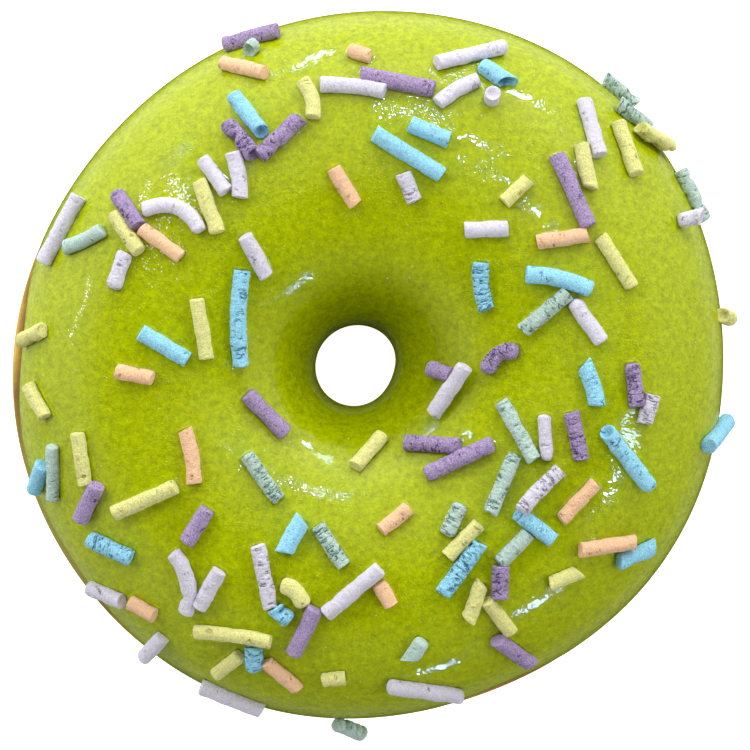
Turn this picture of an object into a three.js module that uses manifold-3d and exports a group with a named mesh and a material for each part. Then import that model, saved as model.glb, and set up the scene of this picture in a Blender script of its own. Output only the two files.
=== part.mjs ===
// A ring doughnut dipped in lime icing and strewn with sugar-paste sprinkles.
// Millimetres, +Z up. The origin lies under the middle of the whole, on the surface it rests on.
// Two solids: the ring of dough with its flat underside, and the coat of icing with the
// sprinkles fused to it, a small gap above the dough.

import * as THREE from 'three';
import { mergeVertices } from 'three/addons/utils/BufferGeometryUtils.js';
import Module from 'manifold-3d';

// The ring, as the outside of the icing would run if it covered the whole of it.
const ringCentre = [-0.5, 1.2];
const outerRadius = 44.35; // at the widest line
const holeRadius = 4.82; // at the narrowest line
const crestRadius = 24; // of the highest line
const crestHeight = 31;
const waistHeight = 14.5; // of the widest and of the narrowest line
const underDepth = 15.6; // how far below the waist the ring would reach if it weren't flat there

// How full each quarter of the section is: 2 is an ellipse, and more is squarer.
const outerFullness = 2.25;
const holeFullness = 2.2;
const underFullness = 2.6;

// Unevenness round the ring: how many waves, how high, and where one peaks, in degrees.
const outerWaves = [[2, 0.85, 41], [3, 0.15, -46], [4, 0.15, -30], [5, 0.2, -33]];
const holeWaves = [[1, 1.9, 179], [2, 0.24, 26]];
const crestWaves = [[2, 0.3, 105], [3, 0.2, 20]];

// The icing: a coat that ends in an uneven line round the outside and inside the hole.
const icingThickness = 1.2;
const gap = 0.3; // between the icing and the dough
const outerEdgeHeight = 9.5;
const outerEdgeWaves = [[3, 0.7, 50], [5, 0.9, 12], [8, 0.5, 30]];
const holeEdgeHeight = 11.5;
const holeEdgeWaves = [[2, 0.7, 80], [3, 0.5, 140]];

// Where the icing stops short and dough shows: middle and half width in degrees, and rise.
const bareStretches = [[175, 32, 6.7], [211, 63, 9.4], [290, 30, 7.6]];

// From the first to the second distance below the edge, the dough swells out to full size.
const swellStart = 0.4;
const swellEnd = 2.2;

// Sprinkles: a rolled rod's radius by its colour, and how deep it is pressed into the icing.
const sprinkleRadius = { violet: 1.03, blue: 1.04, mint: 0.97, lemon: 0.94, peach: 0.93, lilac: 0.98 };
const sprinkleSink = 0.35;
const mostStandOff = 0.4; // a sprinkle is pressed in rather than stand further off than this

// Where each sprinkle lies, seen from above: right and back of the origin at one end, then at
// the other. Where needed, a fifth number bows its middle to the left of that direction, a
// sixth and a seventh lift its first and last end, and an eighth is a radius of its own.
const sprinkles = {
  violet: [
    [-18.6, 41, -12, 42.7], [-18.3, 31.1, -14.9, 27.1], [-31.9, 22.4, -29.1, 18.3],
    [-1.7, 37, 7.3, 35.2], [-9.1, 31.7, -14.2, 26.9], [22.5, 27.2, 26.4, 18.3],
    [-34.3, -13.7, -36.4, -18], [-15.7, -2.4, -11, -7.3], [6.9, 0.8, 9.6, -0.2],
    [3.7, -8.4, 10.5, -8.8], [14.6, -8.5, 6.3, -12.3, 0, 0.4], [13.8, 0.2, 17.7, 2.9, 1],
    [31.8, 1.4, 32.4, -3.9], [24.3, -4.7, 25.5, -10.6], [-20.6, -16.6, -23.2, -20.8],
    [-7.3, -28.9, -10, -34.5], [15.6, -23.6, 15.4, -27.7], [15.2, -32.8, 19.3, -35.9],
  ],
  blue: [
    [-17.4, 34.5, -13.9, 29.9], [13.1, 38.4, 16.5, 36.1], [4.4, 30.8, 9.2, 28.9],
    [0, 29.7, 8.3, 24.5], [-28.8, 5.2, -23, 1.8], [-16.3, 12.8, -16.5, 1.1, -0.4],
    [-41.1, -11.2, -42.4, -14.4], [13.1, 13.8, 13.8, 8, -0.3], [18.7, 12.3, 26.7, 10.5, 0.4],
    [25.8, 1.2, 27.4, -3.9, 0.3], [44.1, -5.8, 41.5, -8.9], [28.6, -7, 34.2, -14.2],
    [-35.3, -20.3, -30.1, -22.7], [-15, -33.7, -14.8, -36.6, 0, 0, 0, 1.12],
    [-8.9, -17.9, -11.2, -22, 0, 0, 0, 1.13], [-12.3, -28.8, -10.4, -30.4, 0, 0, 0, 1.1],
    [13, -20.8, 8.4, -27.1], [17.5, -16.9, 22.1, -20.5], [30.2, -23.2, 34.6, -21.4],
  ],
  mint: [
    [-15.6, 40.1, -14.6, 41.4, 0, 0.2, 1.3], [-38.3, 15.7, -33.6, 17.9, -0.2],
    [28.7, 36.8, 32.5, 33.8, 0.2, 0, 0, 1.05], [30.4, 33.6, 34, 30.8, 0, 0.5],
    [38.1, 25.5, 41.2, 19.2], [-39.9, -8.9, -39.9, -15.6, 0, 0, 0, 0.82],
    [-15.8, -9.9, -11.8, -15.5], [15.6, -3.3, 19.7, -10.6], [23.8, 10, 18.3, 5.4],
    [17.3, -9.9, 14.2, -17.1, 0, 0, 0.5], [-7, -18.6, -3.7, -23.6], [10.7, -16, 8.8, -19.8],
    [19, -19.6, 15.4, -23.3], [6, -32.8, 4.2, -35.4], [-5, -43.5, -1.2, -45, 0, 0, 0, 1],
  ],
  lemon: [
    [-21.7, 23.9, -19.3, 17.5], [-32.3, 19.8, -29, 15.1], [-8.9, 36.3, -7.6, 31.7, 0.5],
    [33, 30.3, 36.8, 28, 0, 0, 0, 1.2], [25.5, 28.5, 26.6, 23], [30.2, 31.3, 32.4, 24.8],
    [19, 24.1, 16, 21.2], [27.8, 17, 31.8, 10.8], [-43.9, 4.2, -41.1, 5.5],
    [-43, -1.3, -40.8, -5.3], [-21.9, 9.3, -20.7, 1.9], [-36.7, -7.2, -35.8, -13.6],
    [-32.2, -17.2, -24.5, -13.8], [1, -7.5, -2.4, -11.4], [43.4, 7.4, 44.4, 7],
    [-22.2, -31.8, -12.8, -33, 0.2, 0, 0.9], [-16.7, -34.8, -19.7, -37.2, 0, 0, 0, 0.9],
    [-11.5, -25.7, -8.6, -28.7, 0.5, 0, 0, 1.05], [12.9, -18.4, 9, -22.4],
    [13.2, -25.8, 11.6, -30.2], [13.8, -27.9, 16.9, -31.9], [21.6, -25.9, 25.2, -24.4],
    [-6.4, -37.8, -3.6, -37.5],
  ],
  peach: [
    [-18.9, 38.7, -13.6, 37.3], [-28.7, 18, -23.8, 14.5], [-3.1, 40.2, -0.5, 39.3],
    [-5.1, 25.4, -2.3, 20.9], [20, 16.3, 26.3, 17.2], [-31.8, 0.4, -27.3, -0.5],
    [-23.4, -6.8, -22.2, -13.5, 0.3], [27.3, -13.4, 23, -18], [-30.3, -28.2, -27.2, -29.9],
    [4.2, -16.5, 0.8, -19.2], [0.5, -25.7, 2.1, -28.5], [25.4, -21.7, 32.3, -20.7, 0, 0, 0.6],
    [-13.4, -35.5, -9.6, -38.9],
  ],
  lilac: [
    [-21.2, 26.6, -18.3, 22.5], [-17.5, 27.4, -16.6, 21.8, 0.3], [-28.6, 20.2, -21.5, 17.6, 1.9],
    [-36.7, 22.1, -41.1, 13.9], [-30.7, 15, -32.3, 10.6], [-6.7, 35.8, 1.3, 34.9, 0.3],
    [7.7, 38.5, 16.1, 40.6], [12.8, 36.4, 7.8, 33.4, -0.3], [14.4, 33.9, 14.6, 34.7, 0, -1.1, 1.9],
    [3.5, 24.8, 5, 21.3], [11.1, 17.8, 16.5, 18], [-16, 17.1, -13.3, 12.1], [26, 34, 27.8, 27.1],
    [37.6, 19, 40.6, 19.6, 0, -1.2, 4], [11.2, 1, 7.2, -4.9, 0, 1.2], [24.4, 9.2, 28, 4],
    [34.4, -2.5, 33.3, -6.1], [20.9, -5, 21.3, -10.7, 0, 0, 0, 0.8],
    [22.9, -11.8, 18.1, -16.8, -0.2, 0, 1.5], [-24.8, -22, -23.4, -29.5, 1.1],
    [-19.1, -24.2, -21.6, -28.8], [-35.4, -26.6, -31.3, -28.2],
    [-26.2, -32.5, -28.7, -35.2, 0, -1.2, 4.5], [-21.6, -38.8, -14, -41.9, 0, 0, 0, 1],
    [-14.4, -21.1, -12.8, -28.9], [0.7, -23.9, -6, -29.6, 0, 0.8], [1.7, -38.6, 11.1, -40],
  ],
};

// How finely the solids are divided
const stepsRound = 60; // round the ring
const faceSteps = 16; // across the outer face of the icing
const backSteps = 13; // across its inner face
const upperSteps = 6; // each quarter of the dough under the icing
const lowerSteps = 3; // each quarter of the dough below it
const sprinkleSides = 6;
const bowedSteps = 2; // along a sprinkle that is bowed; a straight one has one step
const seatSamples = 5; // along a sprinkle, to find where it touches the icing

const degrees = THREE.MathUtils.degToRad;
const wasm = await Module();
wasm.setup();

function waves(list, azimuth) {
  return list.reduce((sum, [count, height, peak]) => (
    sum + height * Math.cos(count * (azimuth - degrees(peak)))
  ), 0);
}

// A point of the ring's face. The turn runs round the section: 0 at the crest, a quarter turn
// at the widest line, minus a quarter at the narrowest and a half turn in the middle below.
function facePoint(azimuth, turn) {
  const outside = turn >= 0;
  const upper = Math.abs(turn) <= Math.PI / 2;
  const width = outside
    ? outerRadius + waves(outerWaves, azimuth) - crestRadius
    : crestRadius - holeRadius - waves(holeWaves, azimuth);
  const height = upper ? crestHeight + waves(crestWaves, azimuth) - waistHeight : -underDepth;
  const fullness = quarterFullness(outside, upper);
  const across = Math.abs(Math.sin(turn)) ** (2 / fullness) * width;
  const up = Math.abs(Math.cos(turn)) ** (2 / fullness) * height;
  return {
    radius: crestRadius + (outside ? across : -across),
    z: Math.max(0, waistHeight + up),
  };
}

function quarterFullness(outside, upper) {
  if (!upper) return underFullness;
  return outside ? outerFullness : holeFullness;
}

// The turn at which the face is at a height, on the outside or on the hole's side.
function turnAtHeight(azimuth, z, outside) {
  const upper = z >= waistHeight;
  const full = upper ? crestHeight + waves(crestWaves, azimuth) - waistHeight : underDepth;
  const share = Math.abs(z - waistHeight) / full;
  const fromCrest = Math.acos(share ** (quarterFullness(outside, upper) / 2));
  const turn = upper ? fromCrest : Math.PI - fromCrest;
  return outside ? turn : -turn;
}

// A face point with the face's outward direction in the section.
function faceFrame(azimuth, turn) {
  const step = 1e-3;
  const before = facePoint(azimuth, turn - step);
  const after = facePoint(azimuth, turn + step);
  const length = Math.hypot(after.radius - before.radius, after.z - before.z);
  return {
    ...facePoint(azimuth, turn),
    outward: (before.z - after.z) / length,
    upward: (after.radius - before.radius) / length,
  };
}

// A point at a depth under the face, or above it where the depth is negative.
function underFace(azimuth, turn, depth) {
  const frame = faceFrame(azimuth, turn);
  return { radius: frame.radius - depth * frame.outward, z: frame.z - depth * frame.upward };
}

// The height at which the icing ends, on the outside or in the hole.
function edgeHeight(azimuth, outside) {
  if (!outside) return holeEdgeHeight + waves(holeEdgeWaves, azimuth);
  return bareStretches.reduce((height, [middle, halfWidth, rise]) => {
    const away = Math.abs(THREE.MathUtils.euclideanModulo(
      THREE.MathUtils.radToDeg(azimuth) - middle + 180, 360,
    ) - 180);
    return height + rise * (1 - THREE.MathUtils.smoothstep(away, 0, halfWidth));
  }, outerEdgeHeight + waves(outerEdgeWaves, azimuth));
}

function spread(from, to, steps) {
  return Array.from({ length: steps }, (_, i) => from + (to - from) * i / steps);
}

// Carries a closed section round the ring. Its points come in the order of rising turn.
function ringSolid(sectionAt) {
  const positions = [];
  const index = [];
  const sections = spread(0, 2 * Math.PI, stepsRound).map((azimuth) => [azimuth, sectionAt(azimuth)]);
  const count = sections[0][1].length;
  sections.forEach(([azimuth, section], i) => {
    const next = (i + 1) % stepsRound;
    section.forEach(({ radius, z }, j) => {
      const [x, y] = ringCentre;
      positions.push(x + radius * Math.cos(azimuth), y + radius * Math.sin(azimuth), z);
      const [a, b] = [i * count + j, i * count + (j + 1) % count];
      const [c, d] = [next * count + j, next * count + (j + 1) % count];
      index.push(a, b, d, a, d, c);
    });
  });
  const geometry = new THREE.BufferGeometry();
  geometry.setAttribute('position', new THREE.Float32BufferAttribute(positions, 3));
  geometry.setIndex(index);
  return geometry;
}

// The icing's section: its outer face from the hole to the outside, then its inner face back.
function icingSection(azimuth) {
  const start = turnAtHeight(azimuth, edgeHeight(azimuth, false), false);
  const end = turnAtHeight(azimuth, edgeHeight(azimuth, true), true);
  return [
    ...spread(start, end, faceSteps).map((turn) => underFace(azimuth, turn, 0)),
    underFace(azimuth, end, 0),
    ...spread(end, start, backSteps).map((turn) => underFace(azimuth, turn, icingThickness)),
    underFace(azimuth, start, icingThickness),
  ];
}

// The dough's section: recessed under the icing, at full size below it, and flat underneath.
function doughSection(azimuth) {
  const bare = (turn) => underFace(azimuth, turn, 0);
  const covered = (turn) => underFace(azimuth, turn, icingThickness + gap);
  const turnBelowEdge = (distance, outside) => (
    turnAtHeight(azimuth, edgeHeight(azimuth, outside) - distance, outside)
  );
  const [holeFull, holeRecess] = [turnBelowEdge(swellEnd, false), turnBelowEdge(swellStart, false)];
  const [outerRecess, outerFull] = [turnBelowEdge(swellStart, true), turnBelowEdge(swellEnd, true)];
  const flat = turnAtHeight(azimuth, 0, true);
  return [
    facePoint(azimuth, -Math.PI),
    ...spread(-flat, holeFull, lowerSteps).map(bare),
    bare(holeFull),
    ...spread(holeRecess, 0, upperSteps).map(covered),
    ...spread(0, outerRecess, upperSteps).map(covered),
    covered(outerRecess),
    ...spread(outerFull, flat, lowerSteps).map(bare),
    facePoint(azimuth, flat),
  ];
}

// Where a rod's middle line comes to lie over a plan position, and which way the icing faces
// there. Past the widest line it stays at that line's height, and beyond says how far past.
function seat(x, y, height) {
  const [right, back] = [x - ringCentre[0], y - ringCentre[1]];
  const azimuth = Math.atan2(back, right);
  const radius = Math.hypot(right, back);
  let [low, high] = radius >= crestRadius ? [0, Math.PI / 2] : [-Math.PI / 2, 0];
  for (let i = 0; i < 30; i += 1) {
    const middle = (low + high) / 2;
    if (underFace(azimuth, middle, -height).radius < radius) low = middle;
    else high = middle;
  }
  const { outward, upward } = faceFrame(azimuth, low);
  const found = underFace(azimuth, low, -height);
  return {
    point: new THREE.Vector3(x, y, found.z),
    normal: new THREE.Vector3(outward * Math.cos(azimuth), outward * Math.sin(azimuth), upward),
    beyond: Math.max(0, radius - found.radius),
  };
}

// A sprinkle: a rod that stands off the icing until it rests where the face is highest. One that
// lies wholly past the widest line is moved in until it touches.
function sprinkle([x0, y0, x1, y1, bow = 0, lift0 = 0, lift1 = 0, ownRadius], radius) {
  const rodRadius = ownRadius ?? radius;
  const height = rodRadius - sprinkleSink;
  const laid = [seat(x0, y0, height).point, seat(x1, y1, height).point];
  const clearances = spread(0, 1, seatSamples).map((share) => {
    const onRod = laid[0].clone().lerp(laid[1], share);
    const { point, normal, beyond } = seat(onRod.x, onRod.y, height);
    return (point.z - onRod.z) * normal.z - beyond;
  });
  const standOff = Math.min(mostStandOff, Math.max(...clearances));
  const raised = height + Math.max(0, standOff);
  const { normal } = seat((x0 + x1) / 2, (y0 + y1) / 2, raised);
  const inward = normal.clone().multiplyScalar(Math.min(0, standOff));
  const first = seat(x0, y0, raised).point.add(inward).add(new THREE.Vector3(0, 0, lift0));
  const last = seat(x1, y1, raised).point.add(inward).add(new THREE.Vector3(0, 0, lift1));
  const sideways = normal.clone().cross(last.clone().sub(first)).normalize();
  const centre = first.clone().lerp(last, 0.5).addScaledVector(sideways, 2 * bow);
  const path = new THREE.QuadraticBezierCurve3(first, centre, last);
  const section = new THREE.Shape(spread(0, 2 * Math.PI, sprinkleSides).map((angle) => (
    new THREE.Vector2(Math.cos(angle), Math.sin(angle)).multiplyScalar(rodRadius)
  )));
  return new THREE.ExtrudeGeometry(section, {
    steps: bow ? bowedSteps : 1,
    extrudePath: path,
    bevelEnabled: false,
  });
}

function toSolid(geometry) {
  geometry.deleteAttribute('normal');
  geometry.deleteAttribute('uv');
  const merged = mergeVertices(geometry, 1e-4);
  return new wasm.Manifold(new wasm.Mesh({
    numProp: 3,
    vertProperties: new Float32Array(merged.attributes.position.array),
    triVerts: new Uint32Array(merged.index.array),
  }));
}

function toGeometry(solid) {
  const { vertProperties, triVerts } = solid.getMesh();
  const geometry = new THREE.BufferGeometry();
  geometry.setAttribute('position', new THREE.BufferAttribute(vertProperties, 3));
  geometry.setIndex(new THREE.BufferAttribute(triVerts, 1));
  return geometry;
}

function icingWithSprinkles() {
  let solid = toSolid(ringSolid(icingSection));
  for (const [colour, rows] of Object.entries(sprinkles)) {
    for (const row of rows) solid = solid.add(toSolid(sprinkle(row, sprinkleRadius[colour])));
  }
  return toGeometry(solid);
}

const doughMaterial = new THREE.MeshStandardMaterial({ color: '#d2a552', roughness: 0.8, metalness: 0 });
const icingMaterial = new THREE.MeshStandardMaterial({ color: '#a8bd20', roughness: 0.3, metalness: 0 });

const dough = new THREE.Mesh(ringSolid(doughSection), doughMaterial);
dough.name = 'dough';

const icing = new THREE.Mesh(icingWithSprinkles(), icingMaterial);
icing.name = 'icing';

const doughnut = new THREE.Group();
doughnut.add(dough, icing);

export default doughnut;
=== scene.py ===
import math
import random

import bpy
import numpy as np
from mathutils import Matrix, Vector


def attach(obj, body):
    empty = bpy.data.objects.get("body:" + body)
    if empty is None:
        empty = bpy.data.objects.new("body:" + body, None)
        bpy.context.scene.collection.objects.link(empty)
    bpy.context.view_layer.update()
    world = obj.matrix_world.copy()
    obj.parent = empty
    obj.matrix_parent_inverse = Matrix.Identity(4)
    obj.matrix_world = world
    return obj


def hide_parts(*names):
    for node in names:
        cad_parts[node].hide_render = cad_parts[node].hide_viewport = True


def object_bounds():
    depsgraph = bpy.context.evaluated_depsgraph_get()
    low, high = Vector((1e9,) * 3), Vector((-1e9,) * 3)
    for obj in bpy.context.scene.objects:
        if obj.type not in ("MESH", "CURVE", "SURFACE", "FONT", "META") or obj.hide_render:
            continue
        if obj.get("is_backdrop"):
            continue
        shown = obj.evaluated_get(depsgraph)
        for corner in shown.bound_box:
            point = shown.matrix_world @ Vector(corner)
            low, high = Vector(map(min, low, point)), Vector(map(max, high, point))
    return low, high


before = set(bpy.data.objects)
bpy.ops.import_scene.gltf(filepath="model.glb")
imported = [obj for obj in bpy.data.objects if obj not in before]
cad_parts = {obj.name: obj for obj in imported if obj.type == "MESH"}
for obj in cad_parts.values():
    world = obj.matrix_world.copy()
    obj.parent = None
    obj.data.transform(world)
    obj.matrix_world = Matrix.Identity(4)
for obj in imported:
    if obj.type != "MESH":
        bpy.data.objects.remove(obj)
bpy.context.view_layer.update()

# The dough. A ring of raised dough, fried to a dull tan crust, that lies on its flat underside.
# It was dipped in icing from above: under the coat it is recessed, and just below the coat's
# edge it swells out to its full size. Lengths are in millimetres until a mesh is made of them.

MM = 0.001

ring_centre = (-0.5, 1.2)
outer_radius = 44.35  # at the widest line
hole_radius = 4.82  # at the narrowest line
crest_radius = 24  # of the highest line
crest_height = 31
waist_height = 14.5  # of the widest and of the narrowest line
under_depth = 15.6  # how far below the waist the ring would reach if it weren't flat there

# How full each quarter of the section is: 2 is an ellipse, and more is squarer.
outer_fullness = 2.25
hole_fullness = 2.2
under_fullness = 2.6

# Unevenness round the ring: how many waves, how high, and where one peaks, in degrees.
outer_waves = [(2, 0.85, 41), (3, 0.15, -46), (4, 0.15, -30), (5, 0.2, -33)]
hole_waves = [(1, 1.9, 179), (2, 0.24, 26)]
crest_waves = [(2, 0.3, 105), (3, 0.2, 20)]

icing_thickness = 1.2
gap = 0.3  # between the icing and the dough
outer_edge_height = 9.5
outer_edge_waves = [(3, 0.7, 50), (5, 0.9, 12), (8, 0.5, 30)]
hole_edge_height = 11.5
hole_edge_waves = [(2, 0.7, 80), (3, 0.5, 140)]

# Where the icing stops short and dough shows: middle and half width in degrees, and rise.
bare_stretches = [(175, 32, 6.7), (211, 63, 9.4), (290, 30, 7.6)]

# Where the band of painted shade under the icing's edge reaches further down over the crust: middle, half
# width and how far.
shade_band_runs = [(206, 24, 1.6)]

# From the first to the second distance below the edge, the dough swells out to full size.
swell_start = 0.4
swell_end = 2.2


def waves(terms, azimuth):
    """What a list of waves adds at an azimuth."""
    return sum(height * np.cos(count * (azimuth - math.radians(peak))) for count, height, peak in terms)


def quarter(azimuth, outside, upper):
    """Width, height and fullness of one quarter of the section."""
    width = np.where(
        outside,
        outer_radius + waves(outer_waves, azimuth) - crest_radius,
        crest_radius - hole_radius - waves(hole_waves, azimuth),
    )
    height = np.where(upper, crest_height + waves(crest_waves, azimuth) - waist_height, -under_depth)
    fullness = np.where(upper, np.where(outside, outer_fullness, hole_fullness), under_fullness)
    return width, height, fullness


def face_point(azimuth, turn):
    """Radius and height of a point of the face. The turn runs round the section: 0 at the crest,
    a quarter turn at the widest line and minus a quarter at the narrowest."""
    outside = turn >= 0
    width, height, fullness = quarter(azimuth, outside, np.abs(turn) <= math.pi / 2)
    across = np.abs(np.sin(turn)) ** (2 / fullness) * width
    up = np.abs(np.cos(turn)) ** (2 / fullness) * height
    return crest_radius + np.where(outside, across, -across), np.maximum(0, waist_height + up)


def turn_at_height(azimuth, z, outside):
    """The turn at which the face is at a height, on the outside or on the hole's side."""
    upper = z >= waist_height
    width, height, fullness = quarter(azimuth, outside, upper)
    from_crest = np.arccos((np.abs(z - waist_height) / np.abs(height)) ** (fullness / 2))
    turn = np.where(upper, from_crest, math.pi - from_crest)
    return turn if outside else -turn


def face_normal(azimuth, turn):
    """How far the face looks outward and upward there."""
    step = 1e-3
    radius0, z0 = face_point(azimuth, turn - step)
    radius1, z1 = face_point(azimuth, turn + step)
    length = np.hypot(radius1 - radius0, z1 - z0)
    return (z0 - z1) / length, (radius1 - radius0) / length


def under_face(azimuth, turn, depth):
    """A point at a depth under the face, or above it where the depth is negative."""
    radius, z = face_point(azimuth, turn)
    outward, upward = face_normal(azimuth, turn)
    return radius - depth * outward, z - depth * upward


def humps(terms, azimuth):
    """What a list of smooth humps adds at an azimuth."""
    total = 0
    for middle, half_width, rise in terms:
        away = np.abs((np.degrees(azimuth) - middle + 180) % 360 - 180) / half_width
        away = np.clip(away, 0, 1)
        total = total + rise * (1 - away * away * (3 - 2 * away))
    return total


def edge_height(azimuth, outside):
    """The height at which the icing ends, on the outside or in the hole."""
    if not outside:
        return hole_edge_height + waves(hole_edge_waves, azimuth)
    return outer_edge_height + waves(outer_edge_waves, azimuth) + humps(bare_stretches, azimuth)


def evenly_along(azimuth, start, end, steps, depth):
    """Points of the face from one turn to another, spaced evenly by length for each azimuth."""
    fine = np.linspace(0, 1, 8 * steps)  # fine enough to measure the length by
    turns = start + (end - start) * fine
    radius, z = under_face(azimuth, turns, depth)
    between = np.hypot(np.diff(radius, prepend=radius[:, :1]), np.diff(z, prepend=z[:, :1]))
    length = np.cumsum(between, axis=1)
    wanted = np.linspace(0, 1, steps)
    even = [np.interp(wanted * row[-1], row, turn_row) for row, turn_row in zip(length, turns)]
    return under_face(azimuth, np.array(even), depth)


def new_object(name, data):
    """Adds an object to the scene."""
    made = bpy.data.objects.new(name, data)
    bpy.context.collection.objects.link(made)
    return made


def ring_object(name, radius, z, azimuth):
    """A closed ring from the sections' radii and heights, one row for each azimuth."""
    x = (ring_centre[0] + radius * np.cos(azimuth)) * MM
    y = (ring_centre[1] + radius * np.sin(azimuth)) * MM
    rows, columns = radius.shape
    corner = np.arange(rows * columns).reshape(rows, columns)
    beside = np.roll(corner, -1, axis=0)
    faces = np.stack([corner, np.roll(corner, -1, axis=1), np.roll(beside, -1, axis=1), beside], axis=-1)
    mesh = bpy.data.meshes.new(name)
    mesh.from_pydata(np.stack([x, y, z * MM], axis=-1).reshape(-1, 3), [], faces.reshape(-1, 4))
    mesh.shade_smooth()
    return new_object(name, mesh)


def store(mesh, name, values):
    """Stores a number, or an arrow of three numbers, for each corner of a mesh."""
    values = np.array(values, dtype=float)
    kind, field = ("FLOAT", "value") if values.ndim == 1 else ("FLOAT_VECTOR", "vector")
    mesh.attributes.new(name, kind, "POINT").data.foreach_set(field, values.ravel())


dough_sections = 480  # round the ring
hole_steps, covered_steps, flank_steps, flat_steps = 24, 60, 40, 20  # along a section's four parts


def dough_section(azimuth):
    """The dough's section: recessed under the icing, full below it, and flat underneath."""
    hole_edge = edge_height(azimuth, False)
    outer_edge = edge_height(azimuth, True)
    flat = turn_at_height(azimuth, 0.0 * azimuth, True)
    hole_full = turn_at_height(azimuth, hole_edge - swell_end, False)
    hole_recess = turn_at_height(azimuth, hole_edge - swell_start, False)
    outer_recess = turn_at_height(azimuth, outer_edge - swell_start, True)
    outer_full = turn_at_height(azimuth, outer_edge - swell_end, True)
    covered = icing_thickness + gap
    parts = [
        evenly_along(azimuth, -flat, hole_full, hole_steps, 0),
        evenly_along(azimuth, hole_recess, outer_recess, covered_steps, covered),
        evenly_along(azimuth, outer_full, flat, flank_steps, 0),
    ]
    flat_start, flat_end = (face_point(azimuth, turn)[0] for turn in (flat, -flat))
    across = np.linspace(0, 1, flat_steps)[1:-1]
    parts.append((flat_start + (flat_end - flat_start) * across, 0 * flat_start + 0 * across))
    radius, z = (np.concatenate(part, axis=1) for part in zip(*parts))
    return radius, z


dough_azimuth = np.linspace(0, 2 * math.pi, dough_sections, endpoint=False)[:, None]
dough_radius, dough_z = dough_section(dough_azimuth)
dough = ring_object("fried_dough", dough_radius, dough_z, dough_azimuth)
outer_end, hole_end = edge_height(dough_azimuth, True), edge_height(dough_azimuth, False)
icing_end = np.where(dough_radius > crest_radius, outer_end, hole_end)
# Painted shade under the icing's edge: how far the band reaches down, and how far below it each corner
# lies, in millimetres.
shade_band_run = humps(shade_band_runs, dough_azimuth) + 0 * dough_z
store(dough.data, "below_shade_band", (icing_end - shade_band_run - dough_z).ravel())
store(dough.data, "shade_band_run", shade_band_run.ravel())


def linear(hex_colour):
    """An sRGB hex colour as linear red, green, blue and alpha."""
    values = [int(hex_colour[i:i + 2], 16) / 255 for i in (1, 3, 5)]
    return [v / 12.92 if v <= 0.04045 else ((v + 0.055) / 1.055) ** 2.4 for v in values] + [1]


def fill(tree, node, inputs):
    """Fills a node's inputs, each with a value, with a socket to link, or with a node, whose first
    socket is linked."""
    for key, value in inputs.items():
        if isinstance(value, bpy.types.Node):
            value = value.outputs[0]
        if isinstance(value, bpy.types.NodeSocket):
            tree.links.new(value, node.inputs[key])
        else:
            node.inputs[key].default_value = value


def add(tree, kind, inputs=None, **settings):
    """Adds a node to a tree with its settings and inputs."""
    node = tree.nodes.new(kind)
    for name, value in settings.items():
        setattr(node, name, value)
    fill(tree, node, inputs or {})
    return node


def per_mm(size):
    """The scale at which a noise on coordinates in metres has lumps of a size in millimetres."""
    return 1 / (size * MM)


def new_material(name):
    """A new material, its tree of nodes and its shader."""
    material = bpy.data.materials.new(name)
    material.use_nodes = True
    return material, material.node_tree, material.node_tree.nodes["Principled BSDF"]


# Fried crust: dull, finely pored and browned unevenly, so its colour comes in soft patches and it gives
# light back only as a faint broad sheen. Along the icing's edge a band of painted shade darkens its colour,
# brown like a syrup stain, and lime-olive where the band reaches further down: two attributes give how far
# the band reaches there and the distance from there downward, in millimetres.
crust, tree, shader = new_material("fried crust")
place = add(tree, "ShaderNodeTexCoord").outputs["Object"]
patches = add(tree, "ShaderNodeTexNoise", {"Vector": place, "Scale": per_mm(9), "Detail": 4})
colour = add(tree, "ShaderNodeValToRGB", {"Fac": patches})
browning = [(0.36, "#BA8830"), (0.62, "#DEB44F")]
for element, (position, hex_colour) in zip(colour.color_ramp.elements, browning):
    element.position, element.color = position, linear(hex_colour)
below = add(tree, "ShaderNodeAttribute", attribute_name="below_shade_band").outputs["Fac"]
frayed = add(tree, "ShaderNodeMath", {0: patches, 1: 1.6, 2: below}, operation="MULTIPLY_ADD")
clear_of_band = add(tree, "ShaderNodeMapRange", {"Value": frayed, "From Min": 2.45, "From Max": 3.3},
          interpolation_type="SMOOTHSTEP")
run = add(tree, "ShaderNodeAttribute", attribute_name="shade_band_run").outputs["Fac"]
# Painted shade: brown under the icing's edge, lime-olive where the band reaches further down.
shade_band = add(tree, "ShaderNodeMix", {0: run, 6: linear("#7E5E26"), 7: linear("#9A923C")}, data_type="RGBA")
with_shade_band = add(tree, "ShaderNodeMix", {0: clear_of_band, 6: shade_band.outputs[2], 7: colour}, data_type="RGBA")
pores = add(tree, "ShaderNodeTexNoise",
            {"Vector": place, "Scale": per_mm(0.7), "Detail": 5, "Roughness": 0.6})
relief = add(tree, "ShaderNodeBump", {"Height": pores, "Strength": 0.5, "Distance": 0.3 * MM})
fill(tree, shader, {"Base Color": with_shade_band.outputs[2], "Roughness": 0.7, "IOR": 1.4, "Normal": relief})
dough.data.materials.append(crust)

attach(dough, "root")
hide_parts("dough")

# The icing. A coat of lime sugar glaze that ran smooth before it set: it covers the ring's top,
# runs down into the hole and over the outside, and ends in a rounded edge.

icing_sections = 600  # round the ring
face_steps = 138  # across the outer face
back_steps = 10  # across the inner face
round_steps = 7  # over the rounded edge


def rounded_edge(azimuth, turn, direction):
    """The half circle over the coat's edge, from its outer to its inner face."""
    radius, z = under_face(azimuth, turn, icing_thickness / 2)
    outward, upward = face_normal(azimuth, turn)
    angle = np.linspace(0, math.pi, round_steps)[1:-1]
    lift = icing_thickness / 2 * np.cos(angle)
    reach = direction * icing_thickness / 2 * np.sin(angle)
    return radius + lift * outward + reach * upward, z + lift * upward - reach * outward


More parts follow.
